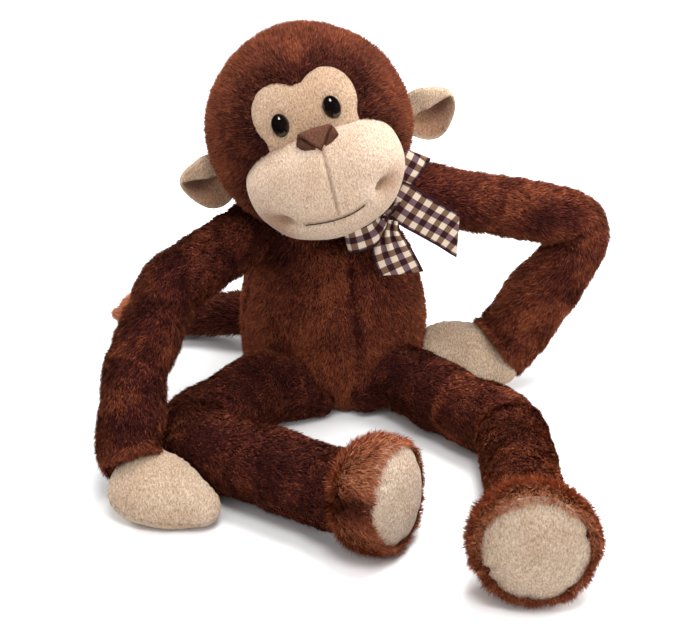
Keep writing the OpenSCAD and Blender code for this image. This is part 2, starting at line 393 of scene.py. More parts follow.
def gingham_material():
    """Woven checks along and across the ribbon, from its "weave" attribute in mm, with dark selvedges."""
    material, tree, shader = shader_material("gingham_ribbon", 0.55, Specular_IOR_Level=0.2)
    attribute = tree.nodes.new("ShaderNodeAttribute")
    attribute.attribute_name = "weave"
    split = tree.nodes.new("ShaderNodeSeparateXYZ")
    tree.links.new(attribute.outputs["Vector"], split.inputs["Vector"])
    stripes = []
    for axis in ("X", "Y"):
        turn = math_node(tree, "DIVIDE", split.outputs[axis], 2 * CHECK)
        turn = math_node(tree, "FRACT", math_node(tree, "ADD", turn, CHECK_START))
        stripes.append(math_node(tree, "GREATER_THAN", turn, 0.5))
    light_row = mix_colours(tree, stripes[0], RIBBON_CREAM, RIBBON_BROWN)
    dark_row = mix_colours(tree, stripes[0], RIBBON_PLUM, RIBBON_DARK)
    colour = mix_colours(tree, stripes[1], light_row, dark_row)
    selvedge = math_node(tree, "GREATER_THAN", split.outputs["Z"], 0.5)
    colour = mix_colours(tree, selvedge, colour, RIBBON_DARK)
    threads = []
    for axis in ("X", "Y"):
        wave = math_node(tree, "MULTIPLY", split.outputs[axis], 2 * math.pi / THREAD_SPACING)
        threads.append(math_node(tree, "SINE", wave))
    weave = math_node(tree, "MULTIPLY", threads[0], threads[1])
    shade = ramp_node(tree, math_node(tree, "MULTIPLY_ADD", weave, 0.5),
                      [(0.0, (0.8, 0.78, 0.78)), (1.0, (1.0, 1.0, 1.0))])
    colour = mix_colours(tree, 0.7, colour, shade, "MULTIPLY")
    tree.links.new(colour, shader.inputs["Base Color"])
    bump_node(tree, shader, weave, 0.0001)
    return material


GROUND = plush_skin_material("plush_ground", (0.012, 0.0035, 0.0025), (0.035, 0.010, 0.007))
WARM_GROUND = plush_skin_material("plush_ground_warm", (0.03, 0.009, 0.006), (0.08, 0.024, 0.014))
VELOUR = velour_material("velour", (0.27, 0.185, 0.125), (0.46, 0.335, 0.235), (0.63, 0.49, 0.37))
SOLE_VELOUR = velour_material("velour_sole", (0.25, 0.18, 0.13), (0.44, 0.33, 0.24), (0.62, 0.49, 0.385))
PATCH_VELOUR = velour_material("velour_face", (0.29, 0.168, 0.098), (0.46, 0.305, 0.20), (0.60, 0.435, 0.31))
EAR_VELOUR = velour_material("velour_ear", (0.32, 0.21, 0.135), (0.52, 0.365, 0.25), (0.69, 0.53, 0.40))
SUEDE = suede_material("nose_suede", (0.045, 0.016, 0.009), (0.105, 0.040, 0.024))
SUEDE_LIGHT = suede_material("nose_suede_light", (0.068, 0.026, 0.016), (0.150, 0.064, 0.040))
EYE = eye_material()
THREAD = thread_material()
GINGHAM = gingham_material()
LINING = inner_material("lining_cloth", (0.30, 0.28, 0.26), (0.45, 0.42, 0.40))
WASHER = inner_material("washer_plastic", (0.62, 0.62, 0.60), (0.72, 0.72, 0.70))

# From the darkest root to the brightest tip.
DARK_PILE = [pile_material(f"pile_{tone}", colour) for tone, colour in (
    ("shadow", (0.014, 0.0038, 0.0038)),
    ("dark", (0.033, 0.0086, 0.0076)),
    ("brown", (0.067, 0.0164, 0.0126)),
    ("russet", (0.145, 0.0360, 0.0190)),
    ("amber", (0.275, 0.0790, 0.0340)),
)]
WARM_PILE = [pile_material(f"long_pile_{tone}", colour) for tone, colour in (
    ("dark", (0.040, 0.0108, 0.0076)),
    ("brown", (0.088, 0.0235, 0.0140)),
    ("russet", (0.175, 0.0480, 0.0245)),
    ("amber", (0.300, 0.0900, 0.0430)),
    ("gold", (0.420, 0.1650, 0.0850)),
)]
TAIL_PILE = DARK_PILE + WARM_PILE[-1:]


# ---------------------------------------------------------------- pile

# Points of a strand: two at its root, two at its middle and its tip.
STRAND_POINTS = 5
STRAND_LEAF = np.array([[0, 1, 3], [0, 3, 2], [2, 3, 4]])
# How deep a strand is rooted in the skin, in mm.
ROOT_DEPTH = 0.4
# A cover below this leaves the skin bare.
BARE_COVER = 0.02


def pile(name, points, triangles, flow, cover, seed, length=5.0, per_mm2=2.9, lean=1.2, width=0.52,
         tones=DARK_PILE, tone_shift=0.0, stray=0.3, mottle=0.75, ruffle=0.3, unrest=0.22):
    """Strands of pile on a skin: each one a narrow leaf of three triangles, darker at its root.

    flow combs the pile at each point, cover scales its length there, and 0 leaves the skin bare. tone_shift
    brightens it, by one number or one for each point, and mottle is how far it varies over a few millimetres.
    stray turns single strands and unrest raises them. They are shaded as the skin is, give or take ruffle."""
    rng = np.random.default_rng(seed)
    normals = normals_of(points, triangles)
    a, b, c = (points[triangles[:, i]] for i in range(3))
    areas = np.linalg.norm(np.cross(b - a, c - a), axis=1) / 2
    bare = cover[triangles].min(1) <= BARE_COVER
    areas[bare] = 0
    count = int(areas.sum() * per_mm2)
    owner = rng.choice(len(triangles), count, p=areas / areas.sum())
    s, t = rng.random((2, count))
    over = s + t > 1
    s[over], t[over] = 1 - s[over], 1 - t[over]
    weights = np.stack([1 - s - t, s, t], 1)

    def spread(values):
        return np.einsum("nk,nkd->nd", weights, values[triangles[owner]])

    root = spread(points)
    normal = unit(spread(normals))
    combed = spread(flow)
    combed = unit(combed - normal * (combed * normal).sum(1, keepdims=True))
    across = np.cross(normal, combed)
    share = spread(cover[:, None])[:, 0]
    swirl = 0.4 * ripple(root, 38, seed + 1) + 0.22 * ripple(root, 9, seed + 2) + rng.normal(0, stray, count)
    combed = combed * np.cos(swirl)[:, None] + across * np.sin(swirl)[:, None]
    tilt = np.clip(lean + 0.15 * ripple(root, 8, seed + 3) + rng.normal(0, unrest, count), 0.15, 1.5)
    size = length * share * (1 + 0.14 * ripple(root, 7, seed + 4) + rng.uniform(-0.22, 0.15, count))

    def step(angle, part):
        heading = normal * np.cos(angle)[:, None] + combed * np.sin(angle)[:, None]
        return heading * (size * part)[:, None]

    half = width * rng.uniform(0.35, 0.65, count)[:, None]
    turn = rng.normal(0, 0.6, count)[:, None]
    side = unit(np.cross(combed, normal)) * np.cos(turn) + normal * np.sin(turn)
    shading = unit(normal + 0.25 * combed + rng.normal(0, ruffle, (count, 3)))
    low = root - ROOT_DEPTH * normal
    mid = root + step(0.88 * tilt, 0.55)
    tip = mid + step(np.minimum(1.12 * tilt, 1.6), 0.5)
    strands = np.stack([low - side * half, low + side * half,
                        mid - side * half * 0.8, mid + side * half * 0.8, tip], 1)
    lift_off_floor(strands)
    first = (np.arange(count) * STRAND_POINTS)[:, None, None]
    shift = spread(tone_shift[:, None])[:, 0] if np.ndim(tone_shift) else tone_shift
    patches = ripple(root, 24, seed + 5) + 0.5 * ripple(root, 7, seed + 6)
    tone = 1.5 + shift + mottle * patches + rng.normal(0, 0.65, count)
    tone = np.clip(np.round(tone), 0, len(tones) - 2)
    slots = np.stack([tone, tone, tone + 1], 1)
    fur = piece(name, strands.reshape(-1, 3), (first + STRAND_LEAF).reshape(-1, 3), tones, slots.ravel())
    shading = np.repeat(shading, STRAND_POINTS, axis=0)
    fur.data.normals_split_custom_set_from_vertices(shading.astype(np.float32))
    return fur


# ---------------------------------------------------------------- limbs

# Distance between the rings of a limb, in mm.
PATH_STEP = 2.0
# How much painted shade darkens the pile for each mm of a crease's depth.
CREASE_SHADE = 0.32


def rounded_path(corners, bend_radius):
    """A centreline through the corners with a round bend at each inner one, as evenly spaced points."""
    stops = [corners[0]]
    for before, corner, after in zip(corners, corners[1:], corners[2:]):
        inward, outward = unit(before - corner), unit(after - corner)
        turn = math.pi - math.acos(np.clip(inward @ outward, -1, 1))
        if turn < 0.05:
            stops.append(corner)
            continue
        room = 0.48 * min(np.linalg.norm(before - corner), np.linalg.norm(after - corner))
        cut = min(bend_radius * math.tan(turn / 2), room)
        radius = cut / math.tan(turn / 2)
        centre = corner + unit(inward + outward) * radius / math.cos(turn / 2)
        first = corner + inward * cut - centre
        last = corner + outward * cut - centre
        for share in np.linspace(0, 1, 13):
            arc = first * math.sin((1 - share) * turn) + last * math.sin(share * turn)
            stops.append(centre + arc / math.sin(turn))
    stops.append(corners[-1])
    stops = np.array(stops)
    along = distance_along(stops)
    even = np.linspace(0, along[-1], int(along[-1] / PATH_STEP) + 1)
    return resample(stops, along, even)


def carried_frames(path):
    """Tangents, and two directions across the path that turn with it as little as they can."""
    tangents = unit(np.gradient(path, axis=0))
    across = unit(UP - tangents[0] * (UP @ tangents[0]))
    first = []
    for tangent in tangents:
        across = unit(across - tangent * (across @ tangent))
        first.append(across)
    first = np.array(first)
    return tangents, first, np.cross(tangents, first)


def nearest(path, place):
    """The row of a path's point that is nearest to a place."""
    return int(np.linalg.norm(path - place, axis=1).argmin())


class Sleeve:
    """A stuffed tube round a path, made once and cut into sections that each hold one joint.

    A fold is a place, its depth, its length along the tube, and how far it wraps round the bend's inside."""

    def __init__(self, corners, radius, bend_radius, seed, around=56, folds=(), end_radius=None,
                 end_length=9.0, start_radius=None, lump=0.7):
        self.path = rounded_path(corners, bend_radius)
        tangents, first, second = carried_frames(self.path)
        self.tangents = tangents
        self.along = distance_along(self.path)
        angle = turns(around)
        cosine, sine = np.cos(angle)[None, :, None], np.sin(angle)[None, :, None]
        spokes = first[:, None] * cosine + second[:, None] * sine
        size = np.full(spokes.shape[:2], 1.0) * radius
        bend = np.gradient(tangents, axis=0)
        inside = unit(bend + 1e-6 * UP)
        self.crease = np.zeros(size.shape)
        for place, depth, spread, wrap in folds:
            middle_row = nearest(self.path, place)
            facing = np.clip(((spokes * inside[middle_row]).sum(2) + wrap) / (1 + wrap), 0, 1)
            distance = self.along[:, None] - self.along[middle_row]
            size = size - depth * hill(distance, spread) * facing ** 0.8
            self.crease += depth * hill(distance, 0.8 * spread) * facing
        if start_radius is not None:
            size = size + (start_radius - radius) * (1 - smooth(self.along, 0, 34))[:, None]
        if end_radius is not None:
            left = (self.along[-1] - self.along)[:, None]
            size = size + (end_radius - radius) * (1 - smooth(left, 0, end_length))
        points = self.path[:, None] + spokes * size[..., None]
        size = size + lump * ripple(points, 34, seed) + 0.3 * lump * ripple(points, 13, seed + 1)
        self.rings = self.path[:, None] + spokes * size[..., None]
        lift_off_floor(self.rings, 0.8)

    def section(self, first, last):
        """Points, triangles, combing and crease depths of the rings from one row to another."""
        rings = self.rings[first:last + 1]
        flow = np.repeat(self.tangents[first:last + 1], rings.shape[1], axis=0)
        crease = self.crease[first:last + 1].ravel()
        if last < len(self.path) - 1:
            return *shell(rings), flow, crease
        points, triangles = shell(rings, end=self.path[-1] + 1.5 * self.tangents[-1])
        return points, triangles, np.concatenate([flow, self.tangents[-1:]]), np.append(crease, 0)


def bend_across(skin, fur):
    """Bakes the placement of a plush skin and its pile into their meshes."""
    for obj in (skin, fur):
        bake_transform(obj)


def limb(name, sleeve, joints, nodes, pile_settings, tone=None):
    """Cuts a sleeve half way between its joints into one section round each joint.

    The pile's tone comes from pile_settings, or from the points by tone."""
    rows = [nearest(sleeve.path, JOINT[j]) for j in joints]
    cuts = [0] + [(a + b) // 2 for a, b in zip(rows, rows[1:])] + [len(sleeve.path) - 1]
    for i in range(len(joints)):
        points, triangles, flow, crease = sleeve.section(cuts[i], cuts[i + 1])
        skin = piece(f"{name}_skin_{i + 1}", points, triangles, [GROUND])
        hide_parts(*nodes[i])
        settings = pile_settings(i)
        base = settings.pop("tone_shift") if tone is None else tone(points)
        # Painted shade in the creases: the pile is darker where the sleeve is creased in.
        settings["tone_shift"] = base - CREASE_SHADE * np.maximum(crease, 0)
        fur = pile(f"{name}_pile_{i + 1}", points, triangles, flow, np.ones(len(points)), **settings)
        bend_across(skin, fur)


def stuffed(part, side):
    """The CAD nodes of one stuffed part."""
    return [f"{part}_{side}_skin", f"{part}_{side}_stuffing"]


def sided_limb(part, side, sleeve, joints, links, tones, **look):
    """An arm or leg of one side, whose last link is its hand or foot."""
    nodes = [stuffed(link, side) for link in links[:-1]] + [[]]

    # Each section's pile is brightened by its tones, partly as painted light.
    def settings(i):
        return dict(seed=PILE_SEED[part, side] + 10 * i, tone_shift=tones[side][i], **look)

    limb(f"{part}_{side}", sleeve, [f"{joint}_{side}" for joint in joints], nodes, settings)


# Seeds of the limbs' lumps and of their pile.
ARM_SEED = {"right": 21, "left": 31}
LEG_SEED = {"right": 41, "left": 51}
PILE_SEED = {("arm", "right"): 100, ("arm", "left"): 140, ("leg", "right"): 200, ("leg", "left"): 240}

ARM_RADIUS = 17.2
# The left sleeve widens all along its forearm.
CUFF_RADIUS = {"right": 16.2, "left": 20.0}
CUFF_FLARE = {"right": 9.0, "left": 75.0}
# How far the stuffed sleeve lies from its joints, where it sags or bulges round them.
ARM_SAG = {
    "right": dict(root=(0, 0, 12), elbow=(3, 0, 3), forearm=(-5, 0, 0), wrist=(2, -2, 1), cuff=9.0),
    "left": dict(root=(0, 0, 15), elbow=(11, 0, 2), forearm=(5.5, 0, 0), wrist=(2, 0, 0), cuff=6.5),
}
# Brightness of each arm section's pile, from the shoulder: partly painted light, the left arm brighter
# towards its hand, where more light falls.
ARM_TONE_AND_PAINTED_LIGHT = {"right": (-0.25, -0.4, -0.3), "left": (-0.35, 0.0, 0.55)}


def arm(side):
    """An arm's sleeve through its joints, where it sags from them, with creases and a cuff."""
    shoulder, elbow, wrist = (JOINT[f"{j}_{side}"] for j in ("shoulder", "elbow", "wrist"))
    sag = ARM_SAG[side]
    root = shoulder - 24 * unit(elbow - shoulder) + sag["root"]
    corner = elbow + sag["elbow"]
    slack = (elbow + wrist) / 2 + sag["forearm"]
    heel = wrist + sag["wrist"]
    cuff = heel + sag["cuff"] * unit(unit(HAND_OFFSET[side]) + unit(wrist - elbow))
    down = unit(wrist - elbow)
    folds = [(elbow, 4.6, 3.2, 0.6), (elbow + 13 * down, 2.2, 3.2, 0.3), (wrist, 1.8, 4.0, 0.0)]
    if side == "left":
        folds.append((slack + 6 * down, -2.4, 18.0, 6.0))
    sleeve = Sleeve([root, corner, slack, heel, cuff], ARM_RADIUS, 1.05 * ARM_RADIUS + 1, ARM_SEED[side],
                    folds=folds, end_radius=CUFF_RADIUS[side], end_length=CUFF_FLARE[side], lump=1.0)
    links = ("upper_arm", "forearm", "hand")
    sided_limb("arm", side, sleeve, ("shoulder", "elbow", "wrist"), links, ARM_TONE_AND_PAINTED_LIGHT)
    cuff_fringe(f"cuff_{side}", sleeve, f"hand_{side}")


def cuff_fringe(name, sleeve, body):
    """A thick edge of pile round the end of a sleeve, over the start of the hand."""
    rows = slice(len(sleeve.path) - 3, len(sleeve.path))
    rings = sleeve.rings[rows]
    points, triangles = shell(rings)
    flow = np.repeat(sleeve.tangents[rows], rings.shape[1], axis=0)
    fringe = pile(name, points, triangles, flow, np.ones(len(points)), seed=hash_seed(name), length=5.5,
                  per_mm2=6.0, lean=1.1, tone_shift=0.5, ruffle=0.45)
    attach(fringe, body)


def hash_seed(name):
    """A seed that is the same for a name in every run."""
    return sum(ord(letter) * (i + 1) for i, letter in enumerate(name))


HAND_HALF = np.array([33.0, 22.0, 14.0])
HAND_OFFSET = {"right": np.array([25.0, -24.0, -17.0]), "left": np.array([-23.0, -6.0, -7.0])}
HAND_AXIS = {"right": np.array([0.90, -0.38, -0.20]), "left": np.array([-0.97, 0.14, 0.10])}
HAND_FACING = {"right": np.array([-0.1, -0.45, 0.85]), "left": np.array([0.05, -0.70, 0.70])}
# How much the mitten narrows to its tip, and how blunt that tip is.
HAND_TAPER = {"right": 0.30, "left": 0.06}
HAND_BLUNT = {"right": 0.78, "left": 0.62}
# The seam's height on the mitten's edge, as a sine.
HAND_SEAM = 0.22


def hand(side):
    """A velour mitten: a flattened egg with a seam round its edge, broad where it leaves the cuff."""
    centre = JOINT[f"wrist_{side}"] + HAND_OFFSET[side]
    pointing = unit(HAND_AXIS[side])
    back = unit(HAND_FACING[side] - pointing * (HAND_FACING[side] @ pointing))
    across = np.cross(back, pointing)
    polar = np.linspace(0, np.pi, 66)[1:-1]
    along = -np.cos(polar)
    angle = turns(96)
    girth = np.sin(polar) ** HAND_BLUNT[side] * (1 - HAND_TAPER[side] * along)
    cosine, sine = np.cos(angle), np.sin(angle)
    wide = np.sign(cosine) * np.abs(cosine) ** 0.92
    spine = centre + pointing * (HAND_HALF[0] * along)[:, None]
    rings = (spine[:, None]
             + across * (HAND_HALF[1] * girth[:, None] * wide)[..., None]
             + back * (HAND_HALF[2] * girth[:, None] * sine)[..., None])
    outward = unit(rings - spine[:, None])
    seam = np.broadcast_to(hill(sine - HAND_SEAM, 0.07), rings.shape[:2])
    gathers = seam * (1 + 0.5 * np.sin(along * 40)[:, None])
    puckers = hill(sine - HAND_SEAM, 0.4) * np.sin(along * 34 + 2 * np.sin(along * 9))[:, None]
    rings = rings - outward * (1.5 * gathers + 0.35 * puckers)[..., None]
    rings = lumpy(rings, outward, 0.9, 26, hash_seed(side))
    lift_off_floor(rings)
    half = pointing * HAND_HALF[0]
    mitten = piece(f"hand_{side}", *shell(rings, start=centre - half, end=centre + half), [VELOUR])
    attach(mitten, f"hand_{side}", stuffed("hand", side))


LEG_RADIUS = {"right": 21.3, "left": 19.8}
HIP_SHIFT = {"right": np.array([2.0, -6.0, 0.0]), "left": np.array([0.0, 0.0, 0.0])}
# Where the legs' inner ends are sewn in, in front of and below the torso.
LEG_SEAT = {"right": np.array([-1.0, -50.0, 9.0]), "left": np.array([14.0, -50.0, 9.0])}
# Brightness of each leg section's pile, from the hip: partly painted light, the left leg brighter towards its
# foot, where more light falls.
LEG_TONE_AND_PAINTED_LIGHT = {"right": (-0.55, -0.6, -0.6), "left": (-0.75, 0.05, 0.65)}
KNEE_SHIFT = {"right": np.array([-4.0, -5.0, 0.0]), "left": np.array([-8.0, 0.0, -2.0])}


def leg(side):
    """A leg's sleeve, sewn in under the belly, with creases behind the knee and at the ankle."""
    hip, knee, ankle = (JOINT[f"{j}_{side}"] for j in ("hip", "knee", "ankle"))
    sole = middle(f"sole_{side}")
    end = ankle + 20 * unit(sole - ankle)
    below_knee = knee - 14 * unit(ankle - knee)
    folds = [(knee, 5.0, 3.2, 0.7), (below_knee, 1.6, 4.0, 0.0), (ankle, 2.0, 4.5, 0.2)]
    corners = [LEG_SEAT[side], hip + HIP_SHIFT[side], knee + KNEE_SHIFT[side], ankle, end]
    sleeve = Sleeve(corners, LEG_RADIUS[side], 1.1 * LEG_RADIUS[side], LEG_SEED[side], around=64,
                    folds=folds, start_radius=9.0, lump=1.0)
    sided_limb("leg", side, sleeve, ("hip", "knee", "ankle"), ("thigh", "shin", "foot"), LEG_TONE_AND_PAINTED_LIGHT,
               length=4.2, stray=0.22, mottle=0.6, unrest=0.15)


SOLE_RADIUS = 28.5
SOLE_CROWN = 8.5
# Radial puckers of a sole: their angles and depths.
SOLE_PUCKERS = ((3.6, 1.3), (3.9, 0.9), (2.4, 0.8), (0.3, 0.6), (5.4, 0.8), (4.6, 0.6), (1.3, 0.4))
# Distance from the ankle and radius of a foot's side wall, before it is fitted to the foot's length.
FOOT_PROFILE = np.array([(11, 18), (13.5, 24), (18, 28.5), (23, 30.5), (28, 31), (33, 30.8), (37, 29.8),
                         (39.5, 28.5), (41, 26.5)])
# The right foot is folded across its side.
FOOT_FOLD = {"right": 1.0, "left": 0.0}
# How far from the ankle the side wall starts, how far it is turned outwards, and how bright its pile is,
# partly painted light: the left foot's pile is brighter for the light that falls on it.
FOOT_START = {"right": 19.0, "left": 11.0}
FOOT_TURN = {"right": math.radians(9), "left": 0.0}
FOOT_TONE_AND_PAINTED_LIGHT = {"right": 0.7, "left": 1.5}


def foot(side):
    """A long-piled side wall that flares from the ankle and turns in to a gathered velour sole."""
    ankle = JOINT[f"ankle_{side}"]
    node = f"sole_{side}"
    axis = unit(middle(node) - ankle)
    length = reach(node, ankle, axis)
    sine, cosine = math.sin(FOOT_TURN[side]), math.cos(FOOT_TURN[side])
    axis = np.array([axis[0] * cosine - axis[1] * sine, axis[0] * sine + axis[1] * cosine, axis[2]])
    up = unit(UP - axis * (UP @ axis))
    across = np.cross(up, axis)
    angle = turns(84)
    spokes = circle(angle, across, up)
    profile = FOOT_PROFILE.copy()
    profile[:, 0] = np.interp(profile[:, 0], profile[[0, -1], 0], [FOOT_START[side], 0.95 * length])
    distance, radius = resample(profile, np.linspace(0, 1, len(profile)), np.linspace(0, 1, 30)).T
    centre = ankle + axis * distance[:, None]
    far = FOOT_FOLD[side] * smooth(spokes[:, 0], 0.2, 0.9)
    crease = FOOT_FOLD[side] * hill_round(angle, 2.95, 0.20)
    flat_top, flat_bottom = 0.12 * np.clip(np.sin(angle), 0, 1) ** 2, 0.05 * np.clip(-np.sin(angle), 0, 1)
    size = radius[:, None] * (1 - flat_top - flat_bottom)
    size = size - 4.5 * crease * (1 - smooth(distance, 0.8 * length, length))[:, None] - 2.0 * far
    rings = centre[:, None] + spokes * size[..., None]
    rings = lumpy(rings, spokes, 0.7, 24, hash_seed(side) + 3)
    lift_off_floor(rings, 0.6)
    points, triangles = shell(rings, start=centre[0])
    wall = piece(f"foot_{side}_wall", points, triangles, [WARM_GROUND])
    attach(wall, f"foot_{side}", stuffed("foot", side))
    rows = np.repeat(np.arange(len(rings)), rings.shape[1])
    outward = np.tile(spokes, (len(rings), 1))
    rim = smooth(rows, 20, 28)
    flow = np.concatenate([unit(axis * (0.9 - 0.5 * rim)[:, None] + outward), [axis]])
    cover = np.append((1 - 0.35 * rim) * (1 - 0.5 * np.tile(far, len(rings))), 1)
    # Painted light and shade on the foot's pile: brighter towards its top, where the light falls, with
    # painted shade in the right foot's fold and along the rim by the sole.
    height = np.tile(np.sin(angle), len(rings))
    tone = FOOT_TONE_AND_PAINTED_LIGHT[side] + 0.5 * height - 2.6 * np.tile(crease, len(rings)) * (1 - rim) - 1.0 * rim
    fur = pile(f"foot_{side}_pile", points, triangles, flow, cover, seed=300 + hash_seed(side), length=8.0,
               per_mm2=4.0, lean=1.1, width=0.55, tones=WARM_PILE, tone_shift=np.append(tone, 0), ruffle=0.45)
    attach(fur, f"foot_{side}")
    sole(side, ankle + axis * (length - 2.5), axis, across, up)


def sole(side, centre, axis, across, up):
    """A gathered velour disc: crowned, with small radial puckers where it is sewn in."""
    angle = turns(120)
    share = np.concatenate([np.linspace(0.04, 0.8, 18), np.linspace(0.84, 1.0, 9), [0.985]])
    rise = SOLE_CROWN * (1 - share ** 2.4)
    rise[-1] = -3.5
    puckers = np.zeros(len(angle))
    for place, depth in SOLE_PUCKERS:
        puckers += depth * hill_round(angle, place, 0.09)
    edge = smooth(share, 0.55, 0.92)
    radius = SOLE_RADIUS * share[:, None] * (1 - 0.018 * puckers[None] * edge[:, None])
    height = rise[:, None] - puckers[None] * edge[:, None]
    rings = centre + circle(angle, across, up) * radius[..., None] + axis * height[..., None]
    rings = lumpy(rings, axis, 0.5, 20, hash_seed(side) + 9)
    lift_off_floor(rings, 0.2)
    disc = piece(f"sole_{side}_pad", *shell(rings[::-1], end=centre + axis * SOLE_CROWN), [SOLE_VELOUR])
    attach(disc, f"foot_{side}", [f"sole_{side}"])


# ---------------------------------------------------------------- torso, neck and tail

# Seams of the torso, by their angle from its front: front, right, left and back, and their depths.
FRONT_SEAM = 0.26
TORSO_SEAMS = ((FRONT_SEAM, 2.6), (FRONT_SEAM - math.pi / 2, 2.2), (FRONT_SEAM + math.pi / 2, 2.2),
               (FRONT_SEAM + math.pi, 2.0))


def torso():
    """The pear-shaped body with a seam down its front, back and sides, ending in a point between the legs."""
    cad = node_points("torso_skin")
    radii = np.hypot(cad[:, 0], cad[:, 1])
    heights = np.linspace(cad[:, 2].min(), cad[:, 2].max(), 60)
    profile = np.array([radii[np.abs(cad[:, 2] - z) < 2.5].max() for z in heights])
    angle = np.linspace(-np.pi, np.pi, 160, endpoint=False)
    spokes = np.stack([np.sin(angle), -np.cos(angle), np.zeros_like(angle)], 1)
    size = np.repeat(profile[:, None], len(angle), 1)
    groove = np.zeros(len(angle))
    for azimuth, depth in TORSO_SEAMS:
        groove += depth * hill_round(angle, azimuth, 0.055)
    size = size - groove[None] * smooth(heights, 4, 20)[:, None]
    belly = hill_round(angle, 0.2, 0.9)[None] * hill(heights - 42, 34)[:, None]
    size = size + 3.5 * belly
    under = hill_round(angle, 0.3, 1.0)[None] * (1 - smooth(heights, 0, 30))[:, None]
    size = size - 11.0 * under
    rings = spokes[None] * size[..., None] + UP * heights[:, None, None]
    tip = hill_round(angle, 0.36, 0.24)[None] * (1 - smooth(heights, 4, 30))[:, None]
    rings = rings + np.array([0.3, -0.95, 0.0]) * (10.0 * tip)[..., None]
    rings = lumpy(rings, spokes, 0.9, 40, 61)
    lift_off_floor(rings)
    points, triangles = shell(rings, start=np.array([0, 0, FLOOR_GAP]), end=np.array([0, 0, heights[-1]]))
    skin = piece("torso_body", points, triangles, [GROUND])
    attach(skin, "torso", ["torso_skin", "torso_stuffing"])
    outward = unit(points * [1, 1, 0])
    flow = unit(-UP + 0.15 * outward)
    seam = np.concatenate([np.repeat(groove[None], len(heights), 0).ravel(), [0, 0]])
    cover = np.clip(1 - 0.22 * seam, 0.3, 1)
    cover[-2:] = 0
    cover[points[:, 2] < FLOOR_GAP + 0.2] = 0
    # Painted light: the pile is brighter down the chest's front, where the light falls.
    lit_chest = hill(np.arctan2(points[:, 0], -points[:, 1]) + 0.1, 0.6)
    tone = 0.1 + 0.75 * lit_chest - 0.6 * seam * smooth(points[:, 2], 25, 60)
    for name, part in (("front", points[:, 1] < 0), ("back", points[:, 1] >= 0)):
        chosen = triangles[part[triangles].any(1) if name == "front" else part[triangles].all(1)]
        fur = pile(f"torso_pile_{name}", points, chosen, flow, cover, seed=400 + len(name), length=4.8,
                   tone_shift=tone, stray=0.35, mottle=0.45)
        attach(fur, "torso")


HEAD_CENTRE = JOINT["head_nod"]


def neck():
    """The neck's sleeve, from inside the torso's top to inside the head."""
    low = middle("neck_skin") * [1, 1, 0] + UP * 98
    path = rounded_path([low, HEAD_CENTRE - 34 * UP], 20)
    spokes = circle(turns(56), np.array([1.0, 0.0, 0.0]), np.array([0.0, 1.0, 0.0]))
    share = np.linspace(0, 1, len(path))
    size = 22 + 6 * np.abs(2 * share - 1) ** 2
    rings = path[:, None] + spokes[None] * size[:, None, None]
    points, triangles = shell(rings)
    flow = np.tile(-UP, (len(points), 1))
    skin = piece("neck_sleeve", points, triangles, [GROUND])
    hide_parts("neck_skin", "neck_stuffing")
    fur = pile("neck_pile", points, triangles, flow, np.ones(len(points)), seed=450, length=6, per_mm2=1.6,
               tone_shift=-0.6)
    bend_across(skin, fur)


TAIL_RADIUS = 11.8


def tail():
    """A tapered sleeve with longer, brighter pile at its tip."""
    root, bend = JOINT["tail_swing"], JOINT["tail_curl"]
    pointing = unit(middle("tail_tip_skin") - bend)
    tip = bend + pointing * (reach("tail_tip_skin", bend, pointing) - 6)
    inner = root - 16 * unit(bend - root) + np.array([0, 0, 5])
    sleeve = Sleeve([inner, bend, tip], TAIL_RADIUS, 40, 71, around=48, end_radius=3.0, end_length=11,
                    start_radius=18)
    nodes = [["tail_base_skin", "tail_base_stuffing"], ["tail_tip_skin", "tail_tip_stuffing"]]

    def settings(i):
        return dict(seed=500 + 10 * i, length=(5.0, 7.0)[i], tones=TAIL_PILE, ruffle=(0.22, 0.45)[i])

    def brighter(points):
        return -0.9 + 3.5 * (1 - smooth(np.linalg.norm(points - tip, axis=1), 8, 42))

    limb("tail", sleeve, ["tail_swing", "tail_curl"], nodes, settings, tone=brighter)


# ---------------------------------------------------------------- head

# Places on the head are given in its own axes: to its left, to its back and up, from its centre.
HEAD_RADIUS = 59.5
HEAD_ROLL = math.radians(-18)
HEAD_YAW = math.radians(8)
MUZZLE_CENTRE = np.array([0.0, -44.0, -18.0])
MUZZLE_HALF = np.array([47.0, 38.0, 33.8])
# The muzzle is a superellipsoid: a power of 2 would be round, and a higher one is boxier.
MUZZLE_POWER = 2.35
# The face patch is drawn in the face's plane: round lobes as x, z and radius, and its middle.
LOBES = ((-12.5, 26.5, 17.5), (14.2, 25.8, 17.8), (1.0, 27.0, 13.8))
PATCH_MIDDLE = np.array([1.0, 22.0])
# How far the patch goes down, under the muzzle, and to each side there.
PATCH_DROP = 32.0
PATCH_HALF_WIDTH = 27.5
# How far the patch stands off the head's skin at its edge, and how much more at its middle.
PATCH_STAND = 0.9
PATCH_CROWN = 1.9
# Where the patch is pressed in round the eyes, as x and z.
EYE_HOLLOWS = ((-15.5, 23.5), (15.5, 23.5))
# Places of the mouth line as x and z, and of the dimples beside it.
SMILE = np.array([(-21.0, -31.6), (-12.0, -32.9), (-3.0, -33.4), (6.0, -33.1), (14.5, -31.4)])
DIMPLES = np.array([(-33.5, -62.0, -27.0), (30.5, -64.0, -25.0)])


def head_axes():
    """The head's own axes as rows: right to left, face to back, and up."""
    roll = np.array([[math.cos(HEAD_ROLL), 0, math.sin(HEAD_ROLL)],
                     [0, 1, 0],
                     [-math.sin(HEAD_ROLL), 0, math.cos(HEAD_ROLL)]])
    yaw = np.array([[math.cos(HEAD_YAW), -math.sin(HEAD_YAW), 0],
                    [math.sin(HEAD_YAW), math.cos(HEAD_YAW), 0],
                    [0, 0, 1]])
    return (roll @ yaw).T


HEAD_AXES = head_axes()


